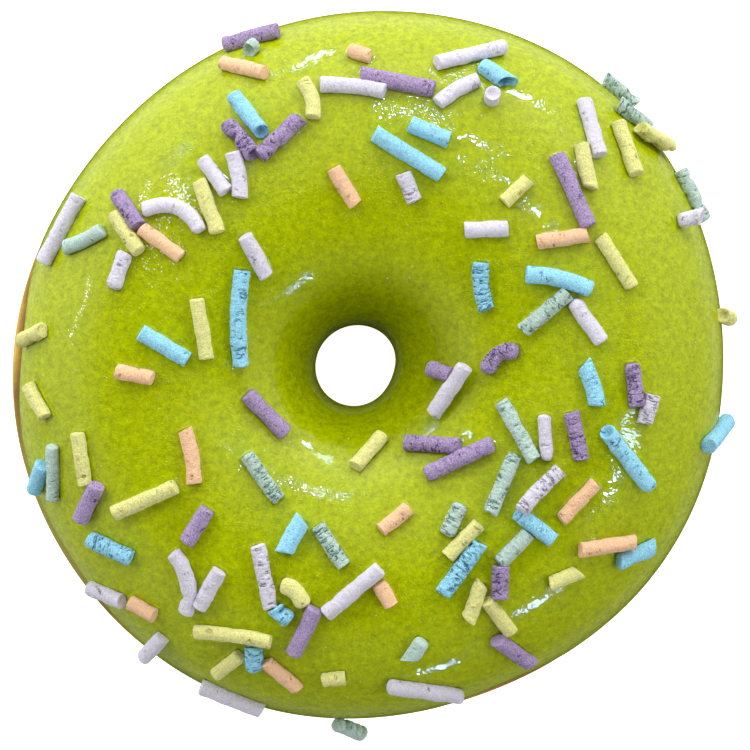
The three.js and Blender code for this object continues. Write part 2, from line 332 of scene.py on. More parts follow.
def icing_section(azimuth):
    """The icing's section: its outer face from the hole to the outside, then its inner face back."""
    start = turn_at_height(azimuth, edge_height(azimuth, False) + icing_thickness / 2, False)
    end = turn_at_height(azimuth, edge_height(azimuth, True) + icing_thickness / 2, True)
    parts = [
        evenly_along(azimuth, start, end, face_steps, 0),
        rounded_edge(azimuth, end, 1),
        evenly_along(azimuth, end, start, back_steps, icing_thickness),
        tuple(part[:, ::-1] for part in rounded_edge(azimuth, start, -1)),
    ]
    return tuple(np.concatenate(part, axis=1) for part in zip(*parts))


icing_azimuth = np.linspace(0, 2 * math.pi, icing_sections, endpoint=False)[:, None]
icing = ring_object("lime_icing", *icing_section(icing_azimuth), icing_azimuth)
icing_corners = np.empty(3 * len(icing.data.vertices))
icing.data.vertices.foreach_get("co", icing_corners)
icing_corners = icing_corners.reshape(-1, 3) / MM

# Where painted highlights lie on the glaze, as white grains like dried sugar: seen from above, right and
# back of the origin at a line's two ends, how far round the line they lie, and how crowded they are on it.
painted_glint_lines = [
    (-24.8, 23.6, -22.6, 20.2, 2.4, 0.29), (-27.9, 23.4, -28.9, 21.3, 0.9, 0.29),
    (-24.5, 21.5, -27.5, 14.5, 5.5, 0.15), (-35.2, 11.8, -35.6, 9.6, 0.7, 0.32),
    (-35.8, 9.1, -37.7, 4.6, 0.6, 0.28),
]
painted_glint_crowding = np.zeros(len(icing_corners))
for x0, y0, x1, y1, reach, most in painted_glint_lines:
    start, run = np.array([x0, y0]), np.array([x1 - x0, y1 - y0])
    share = np.clip((icing_corners[:, :2] - start) @ run / (run @ run), 0, 1)
    away = np.linalg.norm(icing_corners[:, :2] - start - share[:, None] * run, axis=1)
    painted_glint_crowding = np.maximum(painted_glint_crowding, most * np.clip(1 - away / reach, 0, 1))
store(icing.data, "sugar", painted_glint_crowding)

# Sugar glaze: lime colour under a clear, glossy skin, a little mottled. Down the hole its colour is
# darkened with painted shade and its gloss is duller. Against a sprinkle, where the glaze climbs as a
# collar, its colour is darkened with painted contact shade: the attribute "gap" is the distance to the
# nearest sprinkle in millimetres.
glaze, tree, shader = new_material("lime sugar glaze")
place = add(tree, "ShaderNodeTexCoord").outputs["Object"]
gap_seen = add(tree, "ShaderNodeAttribute", attribute_name="gap").outputs["Fac"]
mottle = add(tree, "ShaderNodeTexNoise",
             {"Vector": place, "Scale": per_mm(0.8), "Detail": 6, "Roughness": 0.9})
colour = add(tree, "ShaderNodeValToRGB", {"Fac": mottle})
limes = [(0.34, "#819100"), (0.66, "#BECC00")]
for element, (position, hex_colour) in zip(colour.color_ramp.elements, limes):
    element.position, element.color = position, linear(hex_colour)
# Painted contact shade: the colour darkens to 0.55 within 0.3 mm of a sprinkle.
painted_contact_shade = add(tree, "ShaderNodeMapRange", {"Value": gap_seen, "From Max": 0.3, "To Min": 0.55},
              interpolation_type="SMOOTHSTEP")
from_centre = add(tree, "ShaderNodeVectorMath", {0: place, 1: [c * MM for c in ring_centre] + [0]},
                  operation="SUBTRACT")
in_plan = add(tree, "ShaderNodeVectorMath", {0: from_centre, 1: (1, 1, 0)}, operation="MULTIPLY")
from_axis = add(tree, "ShaderNodeVectorMath", {0: in_plan}, operation="LENGTH").outputs["Value"]
up_hole = add(tree, "ShaderNodeMapRange", {"Value": from_axis, "From Min": 8 * MM, "From Max": 14 * MM},
              interpolation_type="SMOOTHSTEP")
# Painted shade: the colour darkens to 0.7 down the hole.
painted_hole_shade = add(tree, "ShaderNodeMapRange", {"Value": up_hole, "To Min": 0.7})
painted_shade = add(tree, "ShaderNodeMath", {0: painted_contact_shade, 1: painted_hole_shade}, operation="MULTIPLY")
shaded = add(tree, "ShaderNodeMix", {0: 1.0, 6: colour, 7: painted_shade},
             data_type="RGBA", blend_type="MULTIPLY")

# Painted highlights: white grains painted into the glaze's colour, where the attribute "sugar" crowds them.
glint_crowd = add(tree, "ShaderNodeAttribute", attribute_name="sugar").outputs["Fac"]
sugar = add(tree, "ShaderNodeTexNoise", {"Vector": place, "Scale": per_mm(0.3), "Detail": 1})
glint_dots = add(tree, "ShaderNodeMath", {0: sugar, 1: glint_crowd}, operation="ADD")
white = add(tree, "ShaderNodeMapRange", {"Value": glint_dots, "From Min": 0.775, "From Max": 0.83})
with_painted_glints = add(tree, "ShaderNodeMix", {0: white, 6: shaded.outputs[2], 7: linear("#F2F4E6")},
              data_type="RGBA")

# The skin swells softly and is finely pebbled. Fine grains in it, crowded in some patches, break
# each reflection into sparkles.
swell = add(tree, "ShaderNodeTexNoise", {"Vector": place, "Scale": per_mm(1.8), "Detail": 0})
pebbles = add(tree, "ShaderNodeTexNoise", {"Vector": place, "Scale": per_mm(0.36), "Detail": 0})
patch = add(tree, "ShaderNodeTexNoise", {"Vector": place, "W": 303.1, "Scale": per_mm(6), "Detail": 1},
            noise_dimensions="4D")
pebbly = add(tree, "ShaderNodeMapRange",
             {"Value": patch, "From Min": 0.42, "From Max": 0.65, "To Min": 0.008, "To Max": 0.028})
specks = add(tree, "ShaderNodeTexNoise", {"Vector": place, "Scale": per_mm(0.26), "Detail": 0})
crowded = add(tree, "ShaderNodeMath", {0: patch, 1: 0.3, 2: specks}, operation="MULTIPLY_ADD")
grains = add(tree, "ShaderNodeMapRange",
             {"Value": crowded, "From Min": 0.8, "From Max": 0.95, "To Max": 0.03},
             interpolation_type="SMOOTHSTEP")
waved = add(tree, "ShaderNodeMath", {0: swell, 1: 0.05, 2: grains}, operation="MULTIPLY_ADD")
height = add(tree, "ShaderNodeMath", {0: pebbles, 1: pebbly, 2: waved}, operation="MULTIPLY_ADD")
collar = add(tree, "ShaderNodeMapRange",
             {"Value": gap_seen, "From Max": 0.5, "To Min": 0.08, "To Max": 0.0},
             interpolation_type="SMOOTHERSTEP")
whole = add(tree, "ShaderNodeMath", {0: height, 1: collar}, operation="ADD")
skin = add(tree, "ShaderNodeBump", {"Height": whole, "Strength": 1.0, "Distance": MM})
gloss = add(tree, "ShaderNodeMapRange", {"Value": up_hole, "To Min": 0.15, "To Max": 0.8})
fill(tree, shader, {
    "Base Color": with_painted_glints.outputs[2], "Roughness": 0.6, "Specular IOR Level": 0.0, "Coat Weight": gloss,
    "Coat Roughness": 0.03, "Coat IOR": 1.45, "Normal": skin, "Coat Normal": skin,
})
icing.data.materials.append(glaze)

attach(icing, "root")
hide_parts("icing")

# The sprinkles. Short rods of sugar paste, rolled thin, dried and snapped or cut to length, so
# they are matt, with flat ends and cross cracks. They were strewn on the icing while it was wet.

# Each rod's radius by its colour, and how it sits: how deep it is pressed into the icing, and how
# far it may stand off where the face is uneven before it is pressed in instead.
sprinkle_radius = {"violet": 1.03, "blue": 1.04, "mint": 0.97, "lemon": 0.94, "peach": 0.93, "lilac": 0.98}
sprinkle_sink = 0.35
most_stand_off = 0.4

# Where each sprinkle lies, seen from above: right and back of the origin at one end, then at
# the other. Where needed, a fifth number bows its middle to the left of that direction, a
# sixth and a seventh lift its first and last end, and an eighth is a radius of its own.
sprinkles = {
    "violet": [
        (-18.6, 41, -12, 42.7), (-18.3, 31.1, -14.9, 27.1), (-31.9, 22.4, -29.1, 18.3),
        (-1.7, 37, 7.3, 35.2), (-9.1, 31.7, -14.2, 26.9), (22.5, 27.2, 26.4, 18.3),
        (-34.3, -13.7, -36.4, -18), (-15.7, -2.4, -11, -7.3), (6.9, 0.8, 9.6, -0.2),
        (3.7, -8.4, 10.5, -8.8), (14.6, -8.5, 6.3, -12.3, 0, 0.4), (13.8, 0.2, 17.7, 2.9, 1),
        (31.8, 1.4, 32.4, -3.9), (24.3, -4.7, 25.5, -10.6), (-20.6, -16.6, -23.2, -20.8),
        (-7.3, -28.9, -10, -34.5), (15.6, -23.6, 15.4, -27.7), (15.2, -32.8, 19.3, -35.9),
    ],
    "blue": [
        (-17.4, 34.5, -13.9, 29.9), (13.1, 38.4, 16.5, 36.1), (4.4, 30.8, 9.2, 28.9),
        (0, 29.7, 8.3, 24.5), (-28.8, 5.2, -23, 1.8), (-16.3, 12.8, -16.5, 1.1, -0.4),
        (-41.1, -11.2, -42.4, -14.4), (13.1, 13.8, 13.8, 8, -0.3), (18.7, 12.3, 26.7, 10.5, 0.4),
        (25.8, 1.2, 27.4, -3.9, 0.3), (44.1, -5.8, 41.5, -8.9), (28.6, -7, 34.2, -14.2),
        (-35.3, -20.3, -30.1, -22.7), (-15, -33.7, -14.8, -36.6, 0, 0, 0, 1.12),
        (-8.9, -17.9, -11.2, -22, 0, 0, 0, 1.13), (-12.3, -28.8, -10.4, -30.4, 0, 0, 0, 1.1),
        (13, -20.8, 8.4, -27.1), (17.5, -16.9, 22.1, -20.5), (30.2, -23.2, 34.6, -21.4),
    ],
    "mint": [
        (-15.6, 40.1, -14.6, 41.4, 0, 0.2, 1.3), (-38.3, 15.7, -33.6, 17.9, -0.2),
        (28.7, 36.8, 32.5, 33.8, 0.2, 0, 0, 1.05), (30.4, 33.6, 34, 30.8, 0, 0.5),
        (38.1, 25.5, 41.2, 19.2), (-39.9, -8.9, -39.9, -15.6, 0, 0, 0, 0.82),
        (-15.8, -9.9, -11.8, -15.5), (15.6, -3.3, 19.7, -10.6), (23.8, 10, 18.3, 5.4),
        (17.3, -9.9, 14.2, -17.1, 0, 0, 0.5), (-7, -18.6, -3.7, -23.6), (10.7, -16, 8.8, -19.8),
        (19, -19.6, 15.4, -23.3), (6, -32.8, 4.2, -35.4), (-5, -43.5, -1.2, -45, 0, 0, 0, 1),
    ],
    "lemon": [
        (-21.7, 23.9, -19.3, 17.5), (-32.3, 19.8, -29, 15.1), (-8.9, 36.3, -7.6, 31.7, 0.5),
        (33, 30.3, 36.8, 28, 0, 0, 0, 1.2), (25.5, 28.5, 26.6, 23), (30.2, 31.3, 32.4, 24.8),
        (19, 24.1, 16, 21.2), (27.8, 17, 31.8, 10.8), (-43.9, 4.2, -41.1, 5.5),
        (-43, -1.3, -40.8, -5.3), (-21.9, 9.3, -20.7, 1.9), (-36.7, -7.2, -35.8, -13.6),
        (-32.2, -17.2, -24.5, -13.8), (1, -7.5, -2.4, -11.4), (43.4, 7.4, 44.4, 7),
        (-22.2, -31.8, -12.8, -33, 0.2, 0, 0.9), (-16.7, -34.8, -19.7, -37.2, 0, 0, 0, 0.9),
        (-11.5, -25.7, -8.6, -28.7, 0.5, 0, 0, 1.05), (12.9, -18.4, 9, -22.4),
        (13.2, -25.8, 11.6, -30.2), (13.8, -27.9, 16.9, -31.9), (21.6, -25.9, 25.2, -24.4),
        (-6.4, -37.8, -3.6, -37.5),
    ],
    "peach": [
        (-18.9, 38.7, -13.6, 37.3), (-28.7, 18, -23.8, 14.5), (-3.1, 40.2, -0.5, 39.3),
        (-5.1, 25.4, -2.3, 20.9), (20, 16.3, 26.3, 17.2), (-31.8, 0.4, -27.3, -0.5),
        (-23.4, -6.8, -22.2, -13.5, 0.3), (27.3, -13.4, 23, -18), (-30.3, -28.2, -27.2, -29.9),
        (4.2, -16.5, 0.8, -19.2), (0.5, -25.7, 2.1, -28.5), (25.4, -21.7, 32.3, -20.7, 0, 0, 0.6),
        (-13.4, -35.5, -9.6, -38.9),
    ],
    "lilac": [
        (-21.2, 26.6, -18.3, 22.5), (-17.5, 27.4, -16.6, 21.8, 0.3),
        (-28.6, 20.2, -21.5, 17.6, 1.9), (-36.7, 22.1, -41.1, 13.9), (-30.7, 15, -32.3, 10.6),
        (-6.7, 35.8, 1.3, 34.9, 0.3), (7.7, 38.5, 16.1, 40.6), (12.8, 36.4, 7.8, 33.4, -0.3),
        (14.4, 33.9, 14.6, 34.7, 0, -1.1, 1.9), (3.5, 24.8, 5, 21.3), (11.1, 17.8, 16.5, 18),
        (-16, 17.1, -13.3, 12.1), (26, 34, 27.8, 27.1), (37.6, 19, 40.6, 19.6, 0, -1.2, 4),
        (11.2, 1, 7.2, -4.9, 0, 1.2), (24.4, 9.2, 28, 4), (34.4, -2.5, 33.3, -6.1),
        (20.9, -5, 21.3, -10.7, 0, 0, 0, 0.8), (22.9, -11.8, 18.1, -16.8, -0.2, 0, 1.5),
        (-24.8, -22, -23.4, -29.5, 1.1), (-19.1, -24.2, -21.6, -28.8),
        (-35.4, -26.6, -31.3, -28.2), (-26.2, -32.5, -28.7, -35.2, 0, -1.2, 4.5),
        (-21.6, -38.8, -14, -41.9, 0, 0, 0, 1), (-14.4, -21.1, -12.8, -28.9),
        (0.7, -23.9, -6, -29.6, 0, 0.8), (1.7, -38.6, 11.1, -40),
    ],
}

# How strongly some of them are cracked across, by their place in the list above; others are faint.
faint_cracks = 0.25
cracks = {
    "violet": {0: 0.35, 1: 1, 2: 0.6, 3: 0.35, 4: 0.75, 5: 0.35, 9: 0.6, 10: 0.4, 11: 1, 12: 0.95,
               13: 1, 16: 0.9},
    "blue": {5: 0.5, 7: 1, 9: 0.5, 11: 0.5, 12: 0.9, 13: 0.9, 15: 0.6, 16: 1, 17: 0.6},
    "mint": {2: 1, 3: 1, 4: 0.6, 6: 1, 7: 0.7, 8: 0.8, 9: 0.9, 10: 1, 11: 0.9, 12: 0.6},
    "lilac": {9: 0.6, 16: 0.8, 18: 1, 24: 0.8},
}

halvings = 26  # of a quarter turn, to find where a rod touches


def seat(x, y, height):
    """Where a rod's middle line comes to lie over a plan position, and which way the icing faces
    there. Past the widest line it stays at that line's height, and beyond says how far past."""
    right, back = x - ring_centre[0], y - ring_centre[1]
    azimuth, radius = math.atan2(back, right), math.hypot(right, back)
    low, high = (0, math.pi / 2) if radius >= crest_radius else (-math.pi / 2, 0)
    for _ in range(halvings):
        middle = (low + high) / 2
        if under_face(azimuth, middle, -height)[0] < radius:
            low = middle
        else:
            high = middle
    outward, upward = face_normal(azimuth, low)
    found_radius, z = under_face(azimuth, low, -height)
    normal = Vector((outward * math.cos(azimuth), outward * math.sin(azimuth), upward))
    return Vector((x, y, z)), normal, max(0, radius - found_radius)


def rod_curve(radius, x0, y0, x1, y1, bow=0, lift0=0, lift1=0):
    """A rod's middle line, as the three corners of a curve. The rod stands off the icing until it
    rests where the face is highest; past the widest line it is moved in until it touches."""
    height = radius - sprinkle_sink
    laid = seat(x0, y0, height)[0], seat(x1, y1, height)[0]
    clearances = []
    for share in (0, 0.2, 0.4, 0.6, 0.8):
        on_rod = laid[0].lerp(laid[1], share)
        point, facing, beyond = seat(on_rod.x, on_rod.y, height)
        clearances.append((point.z - on_rod.z) * facing.z - beyond)
    stand_off = min(most_stand_off, max(clearances))
    raised = height + max(0, stand_off)
    normal = seat((x0 + x1) / 2, (y0 + y1) / 2, raised)[1]
    inward = normal * min(0, stand_off)
    first = seat(x0, y0, raised)[0] + inward + Vector((0, 0, lift0))
    last = seat(x1, y1, raised)[0] + inward + Vector((0, 0, lift1))
    sideways = normal.cross(last - first).normalized()
    return first, first.lerp(last, 0.5) + sideways * 2 * bow, last


radius_spread = (0.96, 1.04)  # of a rod's radius, as a share of its colour's
ring_spacing = 0.11  # between the rings of corners along a rod
cap_rings = 5  # across the flat of an end
cap_rise = 0.004  # of the middle of that flat
most_lean = 0.12  # of an end, along the rod for each millimetre across it
lean_reach = 1.6  # along the rod, from a leaning end
roundings = (0.06, 0.22)  # of the rim of an end, in shares of the rod's radius
hollow_share = 0.85  # of the rod's radius, over which an end may be hollow
hollow_reach = 0.5  # along the rod, in which its rings belong to the end

# By colour and place in the list: ends that lean more than that, to the left of the rod's direction
# for the first and the last end, and where two more are given, along its height too; ends that
# are more rounded; ends that are hollow; and dents, each with its place along the rod in shares
# of its length, half its width and its depth in millimetres, and the side of the rod it is on in
# degrees, where 0 is left and 90 is the top.
leans = {
    "violet": {1: (0, 0, 0, -0.4), 3: (-0.2, 0.1), 4: (-0.25, 0.1), 17: (0.3, 0.5)},
    "blue": {0: (0, 0, 0, -0.5), 1: (0, 0.65, 0, -0.6), 11: (0, 0, 0.5, 0), 9: (-0.35, 0.2),
             14: (0.5, -0.3), 15: (0.4, 0), 18: (0.3, 0.5)},
    "mint": {0: (0.2, 0.2, 0.6, 0), 2: (-0.3, 0.3, -0.5, 0), 3: (-0.3, 0.3, -0.5, 0),
             13: (0, -0.7, 0, -0.3)},
    "lemon": {4: (0.1, 0.45), 8: (0.3, 0.2), 19: (0.5, 0.45), 21: (0.2, -0.5)},
    "peach": {12: (0.3, 0.3)},
    "lilac": {13: (0, 0.6, 0, -0.3)},
}
round_ends = {
    "violet": {1: (0.5, 0.2), 11: (0.7, 0.7), 12: (0.6, 0.3), 10: (0.5, 0.4)},
    "blue": {1: (0.6, 0.06), 13: (0.2, 0.6), 15: (0.3, 0.5), 11: (0.2, 0.8), 9: (0.06, 0.25)},
    "mint": {0: (0.06, 0.8), 4: (0.3, 0.4), 6: (0.3, 0.3), 13: (0.6, 0.1), 14: (0.7, 0.8),
             11: (0.5, 0.5)},
    "lemon": {17: (0.7, 0.7), 3: (0.2, 0.3)},
    "lilac": {13: (0.7, 0.06), 17: (0.6, 0.9), 2: (0.5, 0.3), 26: (0.5, 0.9), 15: (0.9, 0.3),
              4: (0.3, 0.8)},
}
hollows = {
    "violet": {1: (0, 0.5)},
    "blue": {0: (0, 0.5), 1: (0, 1.0), 11: (0.5, 0)},
    "lemon": {3: (0.3, 0.3), 14: (0.35, 0)},
    "mint": {0: (0.6, 0), 13: (0, 0.25)},
    "lilac": {8: (0, 0.25), 13: (0, 0.5)},
}
dents = {
    "violet": {1: [(0.42, 0.4, 0.85, 150)], 4: [(0.62, 0.8, 0.35, 0), (0.55, 0.5, 0.2, 180)],
               11: [(0.6, 0.5, 0.4, 120)]},
    "blue": {15: [(0.3, 0.3, 0.85, 50)], 16: [(0.12, 0.3, 0.3, 180)]},
    "mint": {2: [(0.8, 0.8, 0.25, 0)], 4: [(0.2, 0.3, 0.3, 0), (0.45, 0.3, 0.3, 180), (0.7, 0.35, 0.3, 10)],
             14: [(0.28, 0.25, 0.45, 40), (0.6, 0.2, 0.25, 50), (0.8, 0.2, 0.25, 50)]},
    "lemon": {3: [(0.0, 1.2, 1.4, 160), (0.5, 1.2, 0.9, 160), (1.0, 1.2, 1.4, 160)],
              8: [(0.5, 0.4, 0.3, 160)]},
    "lilac": {13: [(0.7, 0.6, 0.4, 110)], 19: [(0.75, 0.5, 0.35, 180)]},
}


def rod_stations(length, radius, rounding):
    """Distances from the first end at which a rod has a ring of corners, and the rings' shares of
    its radius: each end with its rounded rim, and the rings between them evenly along."""
    ends = []
    for share in rounding:
        rim = share * radius
        flat = [(cap_rise * i / cap_rings, (1 - share) * i / cap_rings) for i in range(cap_rings)]
        turned = [(rim * (1 - math.cos(turn)) + cap_rise, 1 - share + share * math.sin(turn))
                  for turn in np.radians(np.linspace(0, 90, 3 + round(5 * rim)))]
        ends.append(flat + turned)
    first, last = ends
    start, end = first[-1][0] + ring_spacing, length - last[-1][0] - ring_spacing
    steps = max(2, round((end - start) / ring_spacing))
    middle = [(start + (end - start) * i / steps, 1) for i in range(steps + 1)]
    return first + middle + [(length - distance, share) for distance, share in reversed(last)]


def of_rod(table, name, number, otherwise):
    """What a table of single rods gives for one of them."""
    return table.get(name, {}).get(number, otherwise)


def on_curve(t, first, control, last):
    """A point of a rod's middle line, where t is 0 at its first end and 1 at its last."""
    return (1 - t) ** 2 * first + 2 * t * (1 - t) * control + t ** 2 * last


def rod_lines(name, rows):
    """The middle lines of one colour's rods as a mesh of edges. Each corner carries the ring's
    radius and place, which way the rod runs there, and the rod's own numbers."""
    draw = random.Random(name)
    corners, edges, carried = [], [], {}
    for number, row in enumerate(rows):
        radius = row[7] if len(row) > 7 else sprinkle_radius[name] * draw.uniform(*radius_spread)
        first, control, last = rod_curve(radius, *row[:7])
        length = (last - first).length
        shift = draw.uniform(0, 1000)  # so that no two rods have the same grain
        tone = draw.uniform(-1, 1)
        drawn = [[draw.uniform(-most_lean, most_lean) for _ in range(2)] for _ in range(2)]
        rounding = of_rod(round_ends, name, number, (0, 0))
        rounding = [share or draw.uniform(*roundings) for share in rounding]
        lean = of_rod(leans, name, number, None)
        hollow = of_rod(hollows, name, number, (0, 0))
        cracking = of_rod(cracks, name, number, faint_cracks)
        for i, (distance, share) in enumerate(rod_stations(length, radius, rounding)):
            t = min(1, max(0, distance / length))
            place = on_curve(t, first, control, last)
            axis = ((1 - t) * (control - first) + t * (last - control)).normalized()
            corners.append(place * MM)
            if i:
                edges.append((len(corners) - 2, len(corners) - 1))
            half = 0 if t < 0.5 else 1
            from_end = min(distance, length - distance)
            near = max(0, 1 - from_end / min(lean_reach, 0.45 * length)) ** 2
            in_hollow = share < hollow_share and from_end < hollow_reach
            inward = (1 - 2 * half) * hollow[half] * (1 - (share / hollow_share) ** 2) * MM
            pressed = Vector((0, 0, 0))
            for middle, half_width, depth, side in of_rod(dents, name, number, []):
                side_up = math.radians(side)
                there = math.exp(-((distance - middle * length) / half_width) ** 2)
                pressed += Vector((0, math.cos(side_up), math.sin(side_up))) * depth * there
            carries = {
                "ring": radius * share * MM,
                "along": (shift + distance) * MM,
                "cracking": cracking,
                "tone": tone,
                "lean": near * (lean[half] if lean else drawn[half][0]),
                "lean_up": near * (lean[half + 2] if lean and len(lean) > 2 else drawn[half][1]),
                "set_in": inward if in_hollow else 0,
                "centre": place * MM,
                "axis": axis,
                "sideways": Vector((-axis.y, axis.x, 0)).normalized(),
                "dent": pressed / radius,
            }
            for key, value in carries.items():
                carried.setdefault(key, []).append(value)
    mesh = bpy.data.meshes.new(name + " lines")
    mesh.from_pydata(corners, edges, [])
    for key, values in carried.items():
        store(mesh, key, values)
    return mesh


def slits(tree, grain, cracking):
    """Adds the nodes that say how deep the paste is slit at a place in its grain, from 0 to 1:
    thin creases that run across the rod, in patches, and more of them the more it is cracked."""
    bend = add(tree, "ShaderNodeTexNoise", {"Vector": grain, "Scale": per_mm(1.2), "Detail": 1})
    bent = add(tree, "ShaderNodeVectorMath", {0: bend.outputs["Color"], "Scale": 0.4 * MM},
               operation="SCALE")
    moved = add(tree, "ShaderNodeVectorMath", {0: grain, 1: bent}, operation="ADD")
    across = add(tree, "ShaderNodeVectorMath", {0: moved, 1: (1, 0.22, 0.22)}, operation="MULTIPLY")
    folds = add(tree, "ShaderNodeTexNoise", {"Vector": across, "Scale": per_mm(0.5), "Detail": 2})
    off = add(tree, "ShaderNodeMath", {0: folds, 1: 0.5}, operation="SUBTRACT")
    far = add(tree, "ShaderNodeMath", {0: off}, operation="ABSOLUTE")
    crease = add(tree, "ShaderNodeMapRange",
                 {"Value": far, "From Min": 0.009, "From Max": 0.037, "To Min": 1.0, "To Max": 0.0})
    zone = add(tree, "ShaderNodeTexNoise", {"Vector": grain, "Scale": per_mm(1.3), "Detail": 1})
    level = add(tree, "ShaderNodeMath", {0: cracking, 1: 0.32, 2: zone}, operation="MULTIPLY_ADD")
    open_here = add(tree, "ShaderNodeMapRange", {"Value": level, "From Min": 0.695, "From Max": 0.795})
    return add(tree, "ShaderNodeMath", {0: crease, 1: open_here}, operation="MULTIPLY")


def wrinkles(tree, grain, cracking):
    """Adds the nodes for the fine wrinkles across a rod, from about -1 to 1, that its skin got as
    it dried. They are stronger on a rod that is cracked."""
    across = add(tree, "ShaderNodeVectorMath", {0: grain, 1: (1, 0.35, 0.35)}, operation="MULTIPLY")
    noise = add(tree, "ShaderNodeTexNoise",
                {"Vector": across, "Scale": per_mm(0.3), "Detail": 4, "Roughness": 0.7})
    even = add(tree, "ShaderNodeMapRange",
               {"Value": noise, "From Min": 0.25, "From Max": 0.75, "To Min": -1.0, "To Max": 1.0})
    strength = add(tree, "ShaderNodeMath", {0: cracking, 1: 0.8, 2: 0.3}, operation="MULTIPLY_ADD")
    return add(tree, "ShaderNodeMath", {0: even, 1: strength}, operation="MULTIPLY")


def rods_tree():
    """Geometry nodes that roll a rod round each middle line, lean its ends, and make its surface
    lumpy, wrinkled and slit."""
    tree = bpy.data.node_groups.new("rolled rods", "GeometryNodeTree")
    sockets = {"Geometry": "Geometry", "Sides": "Int", "Lump height": "Float", "Wrinkle height": "Float",
               "Slit depth": "Float", "Material": "Material"}
    for name, kind in sockets.items():
        tree.interface.new_socket(name, in_out="INPUT", socket_type="NodeSocket" + kind)
    tree.interface.new_socket("Geometry", in_out="OUTPUT", socket_type="NodeSocketGeometry")
    given = add(tree, "NodeGroupInput").outputs
    numbers = ("ring", "along", "cracking", "lean", "lean_up", "set_in")
    arrows = ("centre", "axis", "sideways", "dent", "grain")
    carried = {key: add(tree, "GeometryNodeInputNamedAttribute", {"Name": key}, data_type=kind)
               for keys, kind in ((numbers, "FLOAT"), (arrows, "FLOAT_VECTOR")) for key in keys}

    # The rod: a circle of the ring's radius carried along the line.
    circle = add(tree, "GeometryNodeCurvePrimitiveCircle", {"Resolution": given["Sides"], "Radius": 1.0})
    line = add(tree, "GeometryNodeMeshToCurve", {"Mesh": given["Geometry"]})
    rod = add(tree, "GeometryNodeCurveToMesh",
              {"Curve": line, "Profile Curve": circle, "Scale": carried["ring"]})
    whole = add(tree, "GeometryNodeMergeByDistance", {"Geometry": rod, "Distance": 0.001 * MM})

    # The grain: distance along the rod, and to the left of and above its middle line.
    corner = add(tree, "GeometryNodeInputPosition")
    out = add(tree, "ShaderNodeVectorMath", {0: corner, 1: carried["centre"]}, operation="SUBTRACT")
    upward = add(tree, "ShaderNodeVectorMath", {0: carried["axis"], 1: carried["sideways"]},
                 operation="CROSS_PRODUCT")
    left, above = (add(tree, "ShaderNodeVectorMath", {0: out, 1: way}, operation="DOT_PRODUCT")
                   for way in (carried["sideways"], upward))
    made = add(tree, "ShaderNodeCombineXYZ",
               {"X": carried["along"], "Y": left.outputs["Value"], "Z": above.outputs["Value"]})
    kept = add(tree, "GeometryNodeStoreNamedAttribute",
               {"Geometry": whole, "Name": "grain", "Value": made}, data_type="FLOAT_VECTOR")
    parts = add(tree, "ShaderNodeSeparateXYZ", {0: carried["grain"]}).outputs

    # Dents: the side that faces a dent goes in towards the middle line.
    around = add(tree, "ShaderNodeCombineXYZ", {"Y": parts["Y"], "Z": parts["Z"]})
    side = add(tree, "ShaderNodeVectorMath", {0: around}, operation="NORMALIZE")
    facing = add(tree, "ShaderNodeVectorMath", {0: side, 1: carried["dent"]}, operation="DOT_PRODUCT")
    inward = add(tree, "ShaderNodeMath", {0: facing.outputs["Value"], 1: 0.0}, operation="MAXIMUM")
    turned = add(tree, "ShaderNodeMath", {0: inward, 1: -1.0}, operation="MULTIPLY")
    push = add(tree, "ShaderNodeVectorMath", {0: out, "Scale": turned}, operation="SCALE")
    dented = add(tree, "GeometryNodeSetPosition", {"Geometry": kept, "Offset": push})

    # The ends lean, and some are hollow.
    leaned = add(tree, "ShaderNodeMath", {0: parts["Y"], 1: carried["lean"], 2: carried["set_in"]},
                 operation="MULTIPLY_ADD")
    slid = add(tree, "ShaderNodeMath", {0: parts["Z"], 1: carried["lean_up"], 2: leaned},
               operation="MULTIPLY_ADD")
    slide = add(tree, "ShaderNodeVectorMath", {0: carried["axis"], "Scale": slid}, operation="SCALE")
    ended = add(tree, "GeometryNodeSetPosition", {"Geometry": dented, "Offset": slide})

    # Lumps, wrinkles and slits.
    grain, cracking = carried["grain"], carried["cracking"]
    lumps = add(tree, "ShaderNodeTexNoise", {"Vector": grain, "Scale": per_mm(1.8), "Detail": 2})
    lump = add(tree, "ShaderNodeMath", {0: lumps, 1: 0.5}, operation="SUBTRACT")
    lump_height = add(tree, "ShaderNodeMath", {0: lump, 1: given["Lump height"]}, operation="MULTIPLY")
    folded = add(tree, "ShaderNodeMath",
                 {0: wrinkles(tree, grain, cracking), 1: given["Wrinkle height"], 2: lump_height},
                 operation="MULTIPLY_ADD")
    cut = add(tree, "ShaderNodeMath", {0: slits(tree, grain, cracking), 1: given["Slit depth"]},
              operation="MULTIPLY")
    height = add(tree, "ShaderNodeMath", {0: folded, 1: cut}, operation="SUBTRACT")
    normal = add(tree, "GeometryNodeInputNormal")
    rise = add(tree, "ShaderNodeVectorMath", {0: normal, "Scale": height}, operation="SCALE")
    shaped = add(tree, "GeometryNodeSetPosition", {"Geometry": ended, "Offset": rise})
    smooth = add(tree, "GeometryNodeSetShadeSmooth", {"Geometry": shaped})
    real = add(tree, "GeometryNodeRealizeInstances", {"Geometry": smooth})
    dressed = add(tree, "GeometryNodeSetMaterial", {"Geometry": real, "Material": given["Material"]})
    add(tree, "NodeGroupOutput", {"Geometry": dressed})
    return tree


